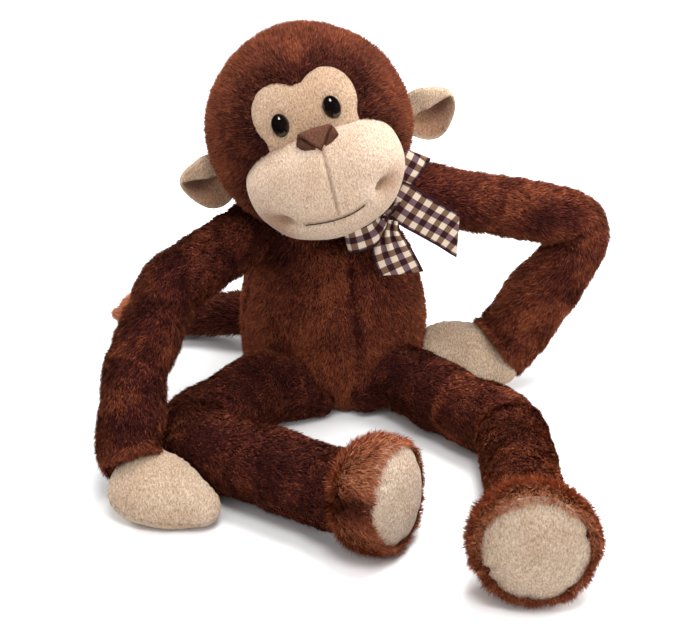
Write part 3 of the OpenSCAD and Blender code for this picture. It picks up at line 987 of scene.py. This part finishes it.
def from_head(local):
    """Points of the head's own axes in the frame."""
    return HEAD_CENTRE + local @ HEAD_AXES


def sphere_directions(rows, columns):
    """A grid of directions with its poles on the head's face and back."""
    polar = np.linspace(0, np.pi, rows + 2)[1:-1]
    angle = turns(columns)
    return np.stack([np.sin(polar)[:, None] * np.cos(angle), -np.cos(polar)[:, None] + 0 * angle,
                     np.sin(polar)[:, None] * np.sin(angle)], 2)


def patch_reach(angle):
    """Distance from the patch's middle to its outline at an angle, in the face's plane."""
    heading = np.stack([np.cos(angle), np.sin(angle)], 1)
    far = np.zeros(len(angle))
    for x, z, radius in LOBES:
        offset = PATCH_MIDDLE - (x, z)
        along = heading @ offset
        inside = along ** 2 - (offset @ offset - radius ** 2)
        far = np.maximum(far, np.where(inside > 0, -along + np.sqrt(np.maximum(inside, 0)), 0))
    lower = np.minimum(PATCH_DROP, PATCH_HALF_WIDTH / np.maximum(np.abs(heading[:, 0]), 1e-6))
    return np.where(heading[:, 1] < 0, np.maximum(far, lower), far)


def in_patch(local, margin=0.0):
    """True where a point of the head lies under the face patch."""
    offset = local[:, [0, 2]] - PATCH_MIDDLE
    angle = np.arctan2(offset[:, 1], offset[:, 0])
    return (np.linalg.norm(offset, axis=1) < patch_reach(angle) + margin) & (local[:, 1] < 0)


def in_muzzle(local, scale):
    """True where a point of the head lies under the muzzle, whose size is scaled."""
    return (((local - MUZZLE_CENTRE) / (MUZZLE_HALF * scale)) ** 2).sum(1) < 1


def head():
    """The round head, with short pile combed back, and bare where the patch and the muzzle lie on it."""
    directions = sphere_directions(90, 150)
    local = lumpy(directions * HEAD_RADIUS, directions, 0.8, 46, 81)
    points, triangles = shell(local, start=np.array([0, -HEAD_RADIUS, 0]), end=np.array([0, HEAD_RADIUS, 0]))
    triangles = triangles[:, ::-1]
    world = from_head(points)
    skin = piece("head_body", world, triangles, [GROUND])
    attach(skin, "head", ["head_skin", "head_stuffing"])
    out = unit(points)
    backward = np.array([0.0, 1.0, -0.35])
    flow = unit(backward - out * (out @ backward)[:, None] + 1e-6) @ HEAD_AXES
    bare = in_patch(points, -1.6) | in_muzzle(points, 1.0)
    cover = np.where(bare, 0.0, 1.0)
    near = in_patch(points, 3.0) | in_muzzle(points, 1.07)
    cover = np.where(near & ~bare, 0.6, cover)
    # Painted light and shade: the pile is brighter towards the head's top, where the light falls, and darker
    # round the face patch and the muzzle as painted shade.
    painted_face_edge_shade = in_patch(points, 8.0) | in_muzzle(points, 1.17)
    tone = -0.6 + 0.35 * smooth(points[:, 2], 20, 55) - 0.6 * painted_face_edge_shade
    in_front = points[triangles][:, :, 1].min(1) < 8
    for name, part in (("front", in_front), ("back", ~in_front)):
        fur = pile(f"head_pile_{name}", world, triangles[part], flow, cover, seed=600 + len(name), length=4.8,
                   per_mm2=3.4, lean=0.85, tone_shift=tone, stray=0.8, mottle=0.5, ruffle=0.42, unrest=0.35)
        attach(fur, "head")


def face_patch():
    """The velour patch: its outline drawn in the face's plane and laid on the head, crowned a little."""
    angle = turns(180)
    outline = patch_reach(angle)
    outline = np.concatenate([outline[-2:], outline, outline[:2]])
    outline = np.convolve(outline, [0.1, 0.2, 0.4, 0.2, 0.1], "valid")
    share = np.concatenate([np.linspace(0.04, 0.9, 26), [0.94, 0.97, 0.99, 1.0, 0.995]])
    heading = np.stack([np.cos(angle), np.sin(angle)], 1)
    plane = PATCH_MIDDLE + heading[None] * (outline * share[:, None])[..., None]
    rise = PATCH_CROWN * (1 - share ** 8)
    rise[-1] = -2.5
    radius = (HEAD_RADIUS + PATCH_STAND + rise)[:, None]
    depth = -np.sqrt(np.maximum(radius ** 2 - (plane ** 2).sum(2), 1.0))
    rings = np.stack([plane[..., 0], depth, plane[..., 1]], 2)
    for x, z in EYE_HOLLOWS:
        away = np.hypot(plane[..., 0] - x, (plane[..., 1] - z) * 0.8)
        rings[..., 1] += 1.6 * hill(away, 6.5)
    middle_depth = -math.sqrt((HEAD_RADIUS + PATCH_STAND + PATCH_CROWN) ** 2 - (PATCH_MIDDLE ** 2).sum())
    points, triangles = shell(rings[::-1], end=np.array([PATCH_MIDDLE[0], middle_depth, PATCH_MIDDLE[1]]))
    patch = piece("face_velour", from_head(points), triangles[:, ::-1], [PATCH_VELOUR])
    attach(patch, "head", nodes=["face_patch"])


def muzzle():
    """The stuffed muzzle with its centre seam, the pull of the smile, dimples and chin."""
    directions = sphere_directions(170, 240)
    radial = (np.abs(directions) ** MUZZLE_POWER).sum(2) ** (-1 / MUZZLE_POWER)
    local = MUZZLE_CENTRE + directions * radial[..., None] * MUZZLE_HALF
    x, z = local[..., 0], local[..., 2]
    front = smooth(-directions[..., 1], 0.05, 0.4)
    low = np.clip((MUZZLE_CENTRE[2] - z) / MUZZLE_HALF[2], 0, 1)
    local[..., 0] = x * (1 - 0.10 * low ** 1.5)
    x = local[..., 0]
    smile_z = np.interp(x, SMILE[:, 0], SMILE[:, 1])
    on_smile = (1 - smooth(np.abs(x + 3), 17, 25))
    press = 2.4 * hill(x - 0.6 - 0.09 * (z + 5), 1.0) * smooth(z, -33, -28) * (1 - smooth(z, 6, 12))
    press += 2.4 * hill(z - smile_z, 2.2) * on_smile
    press += 0.9 * hill(z - smile_z + 4, 6) * on_smile
    press -= 1.8 * hill(np.hypot(x + 2, (z + 46) * 1.1), 15)
    for dimple, bend in zip(DIMPLES, (1, -1)):
        u, v = x - dimple[0], z - dimple[2]
        slanted, cross = u * 0.86 - bend * v * 0.5, bend * u * 0.5 + v * 0.86
        press += 6.5 * hill(np.hypot(slanted / 1.9, cross), 3.0)
        press += 2.0 * hill(np.hypot(slanted, cross), 10)
    local = local - directions * (press * front)[..., None]
    local = lumpy(local, directions, 0.7, 30, 91)
    half = np.array([0, MUZZLE_HALF[1], 0])
    points, triangles = shell(local, start=MUZZLE_CENTRE - half + [0, 1.3, 0], end=MUZZLE_CENTRE + half)
    triangles = triangles[:, ::-1]
    skin = piece("muzzle_velour", from_head(points), triangles, [MUZZLE_VELOUR])
    attach(skin, "head", ["muzzle_skin", "muzzle_stuffing"])
    return BVHTree.FromPolygons(points.tolist(), triangles.tolist())


def places_on_head(local):
    """Places of the head in metres, for a material."""
    return [tuple(p * MM) for p in from_head(np.array(local))]


MUZZLE_VELOUR = velour_material("velour_muzzle", (0.38, 0.26, 0.18), (0.57, 0.42, 0.31), (0.72, 0.58, 0.455),
                                (0.27, 0.125, 0.065), places_on_head(DIMPLES), 0.017)
EAR_AT = {"right": np.array([-67.7, 8.0, -13.8]), "left": np.array([72.0, 8.0, -19.0])}
# Painted shade in the ears' pockets, under their folded tops: places round which the lining's velour is
# darkened.
POCKET_SHADE_PLACES = [EAR_AT["right"] + [-7.0, 2.0, 1.0], EAR_AT["left"] + [7.0, 2.0, 1.0]]
EAR_INNER = velour_material("velour_ear_inner", (0.33, 0.165, 0.095), (0.53, 0.30, 0.185),
                            (0.68, 0.43, 0.285), (0.15, 0.055, 0.035), places_on_head(POCKET_SHADE_PLACES), 0.015)


def surface_point(tree, x, z):
    """Where a line from before the face meets the muzzle, and the muzzle's direction there."""
    hit, normal, _, _ = tree.ray_cast(Vector((x, -200.0, z)), Vector((0, 1, 0)))
    normal = np.array(normal)
    return np.array(hit), normal if normal[1] < 0 else -normal


STITCHES = 15
THREAD_RADIUS = 0.34


def mouth(tree):
    """Overlapping stitches along the smile."""
    xs = np.linspace(SMILE[0, 0], SMILE[-1, 0], STITCHES + 1)
    fine = np.polyfit(SMILE[:, 0], SMILE[:, 1], 3)
    centres = [surface_point(tree, x, np.polyval(fine, x)) for x in xs]
    points, triangles, used = [], [], 0
    for (a, na), (b, nb) in zip(centres, centres[1:]):
        reach_over = (b - a) * 0.18
        rings = thread_rings(a - reach_over + 0.25 * na, b + reach_over + 0.25 * nb, (na + nb) / 2)
        p, t = shell(rings, start=rings[0].mean(0), end=rings[-1].mean(0))
        points.append(p)
        triangles.append(t + used)
        used += len(p)
    stitches = piece("mouth_thread", from_head(np.concatenate(points)), np.concatenate(triangles), [THREAD])
    attach(stitches, "head", nodes=["mouth_stitch"])


def thread_rings(a, b, normal):
    """Rings of one stitch: a short thread that is thickest at its middle."""
    along = unit(b - a)
    across = unit(np.cross(along, normal))
    lift = np.cross(across, along)
    rings = []
    for share in np.linspace(0, 1, 8):
        size = THREAD_RADIUS * (0.45 + 0.55 * math.sin(math.pi * share))
        ring = a + (b - a) * share + lift * 0.35 * math.sin(math.pi * share)
        rings.append(ring + size * circle(turns(10), across, lift))
    return np.array(rings)


def crease(u, v, start, end, width):
    """A soft line between two places of a flat shape."""
    start, end = np.array(start), np.array(end)
    length = np.linalg.norm(end - start)
    direction = (end - start) / length
    along = np.clip((u - start[0]) * direction[0] + (v - start[1]) * direction[1], 0, length)
    away = np.hypot(u - start[0] - along * direction[0], v - start[1] - along * direction[1])
    return hill(away, width)


# Corners of the nose and of its flap, across and up from the nose's seat.
NOSE_OUTLINE = np.array([(-13.0, 0.4), (-10.5, 5.7), (-1.0, 6.4), (9.6, 5.6), (11.2, 2.4), (12.1, -1.6),
                         (7.3, -6.1), (1.2, -8.4), (-4.5, -7.4), (-10.4, -4.6)])
NOSE_FLAP = np.array([(-10.3, 5.5), (9.5, 5.4), (-0.5, -7.5)])
# Spacing of the whip stitches round the nose's lower edge.
NOSE_STITCH = 1.5


def beside(u, v, start, end):
    """Signed distance from a line in the nose's plane, positive on its right going from start to end."""
    direction = (end - start) / np.linalg.norm(end - start)
    return (u - start[0]) * direction[1] - (v - start[1]) * direction[0]


def nose(tree):
    """A folded suede nose: a flap shaped like a triangle over two lower panels."""
    seat, _ = surface_point(tree, 2.0, 12.0)
    facing = unit(np.array([0.02, -0.86, 0.52]))
    across = unit(np.array([1.0, 0.0, 0.0]) - facing * facing[0])
    up = np.cross(facing, across)
    up = up if up[2] > 0 else -up
    corners = np.concatenate([NOSE_OUTLINE, NOSE_OUTLINE[:1]])
    along = distance_along(corners)
    even = np.linspace(0, along[-1], 241)[:-1]
    outline = resample(corners, along, even)
    outline = 0.5 * outline + 0.25 * (np.roll(outline, 2, 0) + np.roll(outline, -2, 0))
    whip = (1 - smooth(outline[:, 1], -4.5, -1.5)) * np.sin(2 * np.pi * even / NOSE_STITCH)
    outline = outline * (1 + 0.03 * whip[:, None])
    share = np.concatenate([np.linspace(0.05, 0.92, 44), [0.95, 0.98, 1.0, 1.0, 0.97]])
    plane = outline[None] * share[:, None, None]
    u, v = plane[..., 0], plane[..., 1]
    left, right, apex = NOSE_FLAP
    under = -np.minimum(beside(u, v, apex, left), beside(u, v, right, apex))
    height = 3.6 * (1 - share[:, None] ** 6) + 0 * u
    height += 1.6 * (1 - smooth(under, -0.3, 0.4)) * (1 + 0.12 * v / 6)
    height -= 1.5 * hill(under - 0.75, 0.55)
    height -= 1.4 * crease(u, v, (7.6, 2.0), (9.8, 5.6), 1.0)
    height[-2] = -1.5
    height[-1] = -5.0
    rings = seat + across * u[..., None] + up * v[..., None] + facing * (height + 1.0)[..., None]
    top = seat + facing * 6.3
    points, triangles = shell(rings[::-1], end=top)
    world = from_head(points)
    triangles = turned_out(world, triangles, facing @ HEAD_AXES)
    panel = np.concatenate([(under[::-1] > 0.4).ravel(), [False]])
    flap = piece("nose_flap", world, triangles, [SUEDE_LIGHT, SUEDE], panel[triangles].all(1))
    attach(flap, "head", nodes=["nose"])


EAR_RADIUS = 17.2
# The folded top of an ear ends on a line: its distance above the ear's middle, and its rise outwards.
FLAP_HEIGHT = 3.0
FLAP_RISE = math.radians(12)
# Share of an ear's radius and depth behind its middle, from the rim to its pole.
EAR_BACK = ((0.94, -5.4), (1.0, -2.6), (0.97, 1.2), (0.83, 4.4), (0.58, 6.6), (0.29, 7.8))
EAR_LINING = ((0.90, -3.4), (0.78, -1.6), (0.68, 0.8), (0.54, 2.8), (0.35, 4.0), (0.17, 4.5))


def ear_outline(turn):
    """Radius of an ear, where a turn of 0 points outwards and a positive one upwards."""
    fuller = 0.11 * hill(turn - 0.35, 0.4)
    return EAR_RADIUS * (1 + fuller - 0.10 * hill(turn + 0.65, 0.5) - 0.06 * hill(turn - 1.2, 0.35))


def ear(side):
    """Two layers of velour, the back one rolled forward into a rim whose top is folded over the lining."""
    sign = -1 if side == "right" else 1
    turn = np.linspace(-np.pi, np.pi, 144, endpoint=False)
    spokes = np.stack([sign * np.cos(turn), 0 * turn, np.sin(turn)], 1)
    inner = np.clip(-np.cos(turn), 0, 1)
    rim = ear_outline(turn)
    lip = np.minimum(0.86 * rim, FLAP_HEIGHT / np.maximum(np.cos(turn - math.pi / 2 - FLAP_RISE), 0.1))
    back = [(lip, -3.4), (lip + 0.3, -4.8)]
    back += [(0.75 * lip + 0.25 * rim, -6.2), (0.35 * lip + 0.65 * rim, -6.6)]
    back += [(share * rim, depth) for share, depth in EAR_BACK]
    lining = [(share * rim, depth) for share, depth in EAR_LINING]
    layers = (("back", back, EAR_VELOUR, 8.4, 1.0), ("lining", lining, EAR_INNER, 4.9, -1.0))
    for part, profile, material, pole, look in layers:
        knots, fine = np.arange(len(profile)), np.linspace(0, len(profile) - 1, 5 * len(profile))
        radius = resample(np.array([r for r, _ in profile]), knots, fine)
        depth = np.interp(fine, knots, [d for _, d in profile])
        depth = depth[:, None] + 2.5 * inner ** 2 + 0.6 * np.sin(3 * turn + 1)
        rings = EAR_AT[side] + spokes[None] * radius[..., None]
        rings = rings + np.array([0, 1.0, 0]) * depth[..., None]
        rings = lumpy(rings, spokes, 0.35, 14, 700 + hash_seed(part))
        points, triangles = shell(rings, end=EAR_AT[side] + [0, pole, 0])
        world = from_head(points)
        triangles = turned_out(world, triangles, np.array([0, look, 0]) @ HEAD_AXES)
        layer = piece(f"ear_{side}_{part}_velour", world, triangles, [material])
        attach(layer, f"ear_{side}", nodes=[f"ear_{side}_{part}"])


# ---------------------------------------------------------------- ribbon

RIBBON_WIDTH = 25.0
RIBBON_THICKNESS = 0.45
SELVEDGE = 1.3


def pleat_depth(share, pleats):
    """Height of the waves, as a share of the gathered width, that makes their length 1 / share of it."""
    x = np.linspace(0, 1, 400)
    depths = np.linspace(0, 0.6, 60)
    slopes = 2 * np.pi * pleats * depths[:, None] * np.sin(2 * np.pi * pleats * x)
    lengths = np.sqrt(1 + slopes ** 2).mean(1)
    return np.interp(1 / np.maximum(share, 0.2), lengths, depths)


def ribbon(name, centres, widths, node, slant=(0.0, 0.0), gather=None, pleats=2):
    """A strip of ribbon along a curve through the centres, given from the knot, and turned by its widths.

    slant moves the upper edge of the strip's first and last ends along it, and gather is the share of the
    width left where the ribbon is pleated, in waves deep enough to hold the rest of the cloth."""
    centres, widths = KNOT + np.array(centres, float), np.array(widths, float)
    gather = np.ones(len(centres)) if gather is None else np.array(gather, float)
    knots = np.linspace(0, 1, len(centres))
    fine = np.linspace(0, 1, 80)
    path = np.stack([catmull(knots, centres[:, i], fine) for i in range(3)], 1)
    turn = unit(np.stack([catmull(knots, widths[:, i], fine) for i in range(3)], 1))
    width = RIBBON_WIDTH * catmull(knots, gather, fine)
    along = distance_along(path)
    tangents = unit(np.gradient(path, axis=0))
    turn = unit(turn - tangents * (turn * tangents).sum(1, keepdims=True))
    across = np.linspace(-0.5, 0.5, 49)
    lengthwise = (slant[0] * (1 - fine)[:, None] + slant[1] * fine[:, None] ** 3) * across[None] * 2
    rings = path[:, None] + turn[:, None] * (across[None] * width[:, None])[..., None]
    rings = rings + tangents[:, None] * lengthwise[..., None]
    face = np.cross(tangents, turn)
    depth = pleat_depth(np.clip(width / RIBBON_WIDTH, 0, 1), pleats) * width
    waves = np.cos(2 * np.pi * pleats * across)
    wave = 0.6 * ripple(rings, 20, hash_seed(name)) + depth[:, None] * waves[None]
    rings = rings + face[:, None] * wave[..., None]
    edge = (np.abs(across) * RIBBON_WIDTH > RIBBON_WIDTH / 2 - SELVEDGE)[None] + 0 * lengthwise
    weave = np.stack([along[:, None] + lengthwise, across[None] * RIBBON_WIDTH + 0 * lengthwise, edge], 2)
    strip = piece(name, rings.reshape(-1, 3), band(rings, closed=False), [GINGHAM])
    attribute = strip.data.attributes.new("weave", "FLOAT_VECTOR", "POINT")
    attribute.data.foreach_set("vector", weave.astype(np.float32).ravel())
    thicken = strip.modifiers.new("thickness", "SOLIDIFY")
    thicken.thickness = RIBBON_THICKNESS * MM
    thicken.offset = 0
    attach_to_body(strip, "torso")
    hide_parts(node)


def catmull(knots, values, fine):
    """A smooth curve through the values."""
    padded = np.concatenate([[2 * values[0] - values[1]], values, [2 * values[-1] - values[-2]]])
    place = np.interp(fine, knots, np.arange(len(values)))
    i = np.minimum(place.astype(int), len(values) - 2)
    t = place - i
    a, b, c, d = padded[i], padded[i + 1], padded[i + 2], padded[i + 3]
    bent, twisted = 2 * a - 5 * b + 4 * c - d, 3 * b - a - 3 * c + d
    return 0.5 * (2 * b + (c - a) * t + bent * t ** 2 + twisted * t ** 3)


KNOT = middle("bow_knot")


def bow():
    """The ribbon's knot, two loops and two cut ends, and its round of the neck."""
    ribbon("bow_end_upper",
           [(-8, 6, 15), (0, 3, 10.7), (9, 2, 5), (18.5, 2.5, -0.7), (28, 4.5, -7), (36, 6, -12.8)],
           [(0.5, 0, 0.9)] * 6, "bow_tail_upper", slant=(0.0, -8.5), gather=(0.85, 1, 1, 1, 1, 1))
    ribbon("bow_end_lower",
           [(-6, -3, 1), (-7.5, -6, -6), (-6, -8, -14), (-2.5, -9, -23), (1.6, -10, -31.3)],
           [(1, 0, 0.2), (1, 0, 0.25), (1, 0, 0.3), (1, 0, 0.25), (1, 0, 0.2)], "bow_tail_lower",
           slant=(0.0, 4.5), gather=(0.45, 0.65, 0.9, 1, 1), pleats=3)
    ribbon("bow_loop_upper_band",
           [(-8, 5, 8), (-5, 7, 17), (1, 9, 28), (5, 11, 35),
            (7, 14, 38.5), (6, 18, 35), (1, 16, 26), (-6, 9, 12)],
           [(0.88, 0.15, -0.46)] * 8, "bow_loop_upper", gather=(0.6, 0.8, 0.95, 1, 1, 1, 0.85, 0.6))
    ribbon("bow_loop_lower_band",
           [(-9, 0, 6), (-12, -7, 3), (-17, -12, 0), (-24, -14, -2.5), (-30.5, -14, -4), (-33, -10, -4.5),
            (-29, -4, -4), (-18, 1, 0), (-9, 2, 4)],
           [(-0.2, 0, 0.97)] * 9, "bow_loop_lower", gather=(0.6, 0.75, 0.95, 1, 1, 1, 1, 0.85, 0.6))
    knot = [(4.2 * math.cos(t) - 9, 4.5 * math.sin(t) + 4, 4.6 * math.cos(t) + 8)
            for t in np.linspace(0, 2 * np.pi, 13)]
    ribbon("bow_knot_band", knot, [(0.75, 0, -0.65)] * 13, "bow_knot", gather=[0.45] * 13, pleats=3)
    low, high = (np.array(corner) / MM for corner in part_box("collar_ribbon"))
    centre = (low + high) / 2 - KNOT
    radius = (high[0] - low[0]) / 2
    collar = [centre + [radius * math.sin(t), -radius * math.cos(t), 2.0 * math.sin(t)]
              for t in np.linspace(0.9, 0.9 + 2 * np.pi, 17)]
    ribbon("collar_band", collar, [(0, 0, 1)] * 17, "collar_ribbon", gather=[0.8] * 17, pleats=1)


# ---------------------------------------------------------------- stage

CAMERA_RISE = math.radians(25)
CAMERA_PLACE = np.array([11.1, -1024.7, 523.7])
CAMERA_LENS = 90.3
# Name, place, aim and diameter in metres, power in watts, and whether glossy things mirror it.
LIGHTS = (
    ("top", (0.35, 0.30, 1.9), (0, -0.05, 0.1), 1.2, 46, False),
    ("front", (-0.7, -1.5, 1.2), (0, -0.05, 0.1), 0.9, 4, False),
    ("side", (1.4, -1.1, 0.8), (0.05, -0.1, 0.08), 0.9, 12, False),
    ("rim_left", (-1.4, 1.0, 0.8), (0, 0, 0.12), 0.7, 18, False),
    ("rim_right", (1.4, 0.9, 0.8), (0, 0, 0.12), 0.7, 24, False),
    ("catch", (0.05, -0.75, 1.25), (0, -0.05, 0.15), 0.48, 9, True),
)
WORLD_STRENGTH = 0.55


def camera():
    data = bpy.data.cameras.new("camera")
    data.sensor_width = 36
    data.lens = CAMERA_LENS
    data.clip_end = 30
    obj = bpy.data.objects.new("camera", data)
    bpy.context.scene.collection.objects.link(obj)
    obj.location = CAMERA_PLACE * MM
    obj.rotation_euler = (math.pi / 2 - CAMERA_RISE, 0, 0)
    bpy.context.scene.camera = obj


def area_light(name, place, aim, size, power, mirrored):
    data = bpy.data.lights.new(name, "AREA")
    data.shape = "DISK"
    data.size = size
    data.energy = power
    obj = bpy.data.objects.new(name, data)
    bpy.context.scene.collection.objects.link(obj)
    obj.visible_glossy = mirrored
    obj.location = place
    obj.rotation_euler = (Vector(aim) - Vector(place)).to_track_quat("-Z", "Y").to_euler()


def lights():
    """Soft studio light, and one lamp that shows in the eyes."""
    for settings in LIGHTS:
        area_light(*settings)
    world = bpy.data.worlds.new("studio")
    world.use_nodes = True
    background = world.node_tree.nodes["Background"]
    background.inputs["Color"].default_value = (1, 1, 1, 1)
    background.inputs["Strength"].default_value = WORLD_STRENGTH
    bpy.context.scene.world = world
    world.cycles_visibility.glossy = False
    bpy.context.scene.view_settings.view_transform = "Standard"


FLOOR_SIZE = 12.0


def floor():
    """A wide pale plane that the toy sits on."""
    axis = np.linspace(-FLOOR_SIZE / 2, FLOOR_SIZE / 2, 25) / MM
    x, y = np.meshgrid(axis, axis, indexing="ij")
    grid = np.stack([x, y, 0 * x], 2)
    material = mottled_material("studio_floor", 0.7, (0.93, 0.93, 0.93), (0.95, 0.95, 0.95), (3, 2))
    plane = piece("studio_floor", grid.reshape(-1, 3), band(grid, closed=False), [material])
    plane.visible_glossy = False


# ---------------------------------------------------------------- build

KEPT_NODES = {"eye_right": EYE, "eye_left": EYE, "eye_washer_right": WASHER, "eye_washer_left": WASHER,
              "pellet_bag": LINING}


def finish_kept_nodes():
    """Gives the CAD nodes that stay their own materials."""
    for node, material in KEPT_NODES.items():
        materials = frame["nodes"][node].data.materials
        for i in range(len(materials)):
            materials[i] = material


torso()
neck()
tail()
for side in ("right", "left"):
    arm(side)
    hand(side)
    leg(side)
    foot(side)
    ear(side)
head()
face_patch()
muzzle_tree = muzzle()
mouth(muzzle_tree)
nose(muzzle_tree)
bow()
finish_kept_nodes()
floor()
lights()
camera()
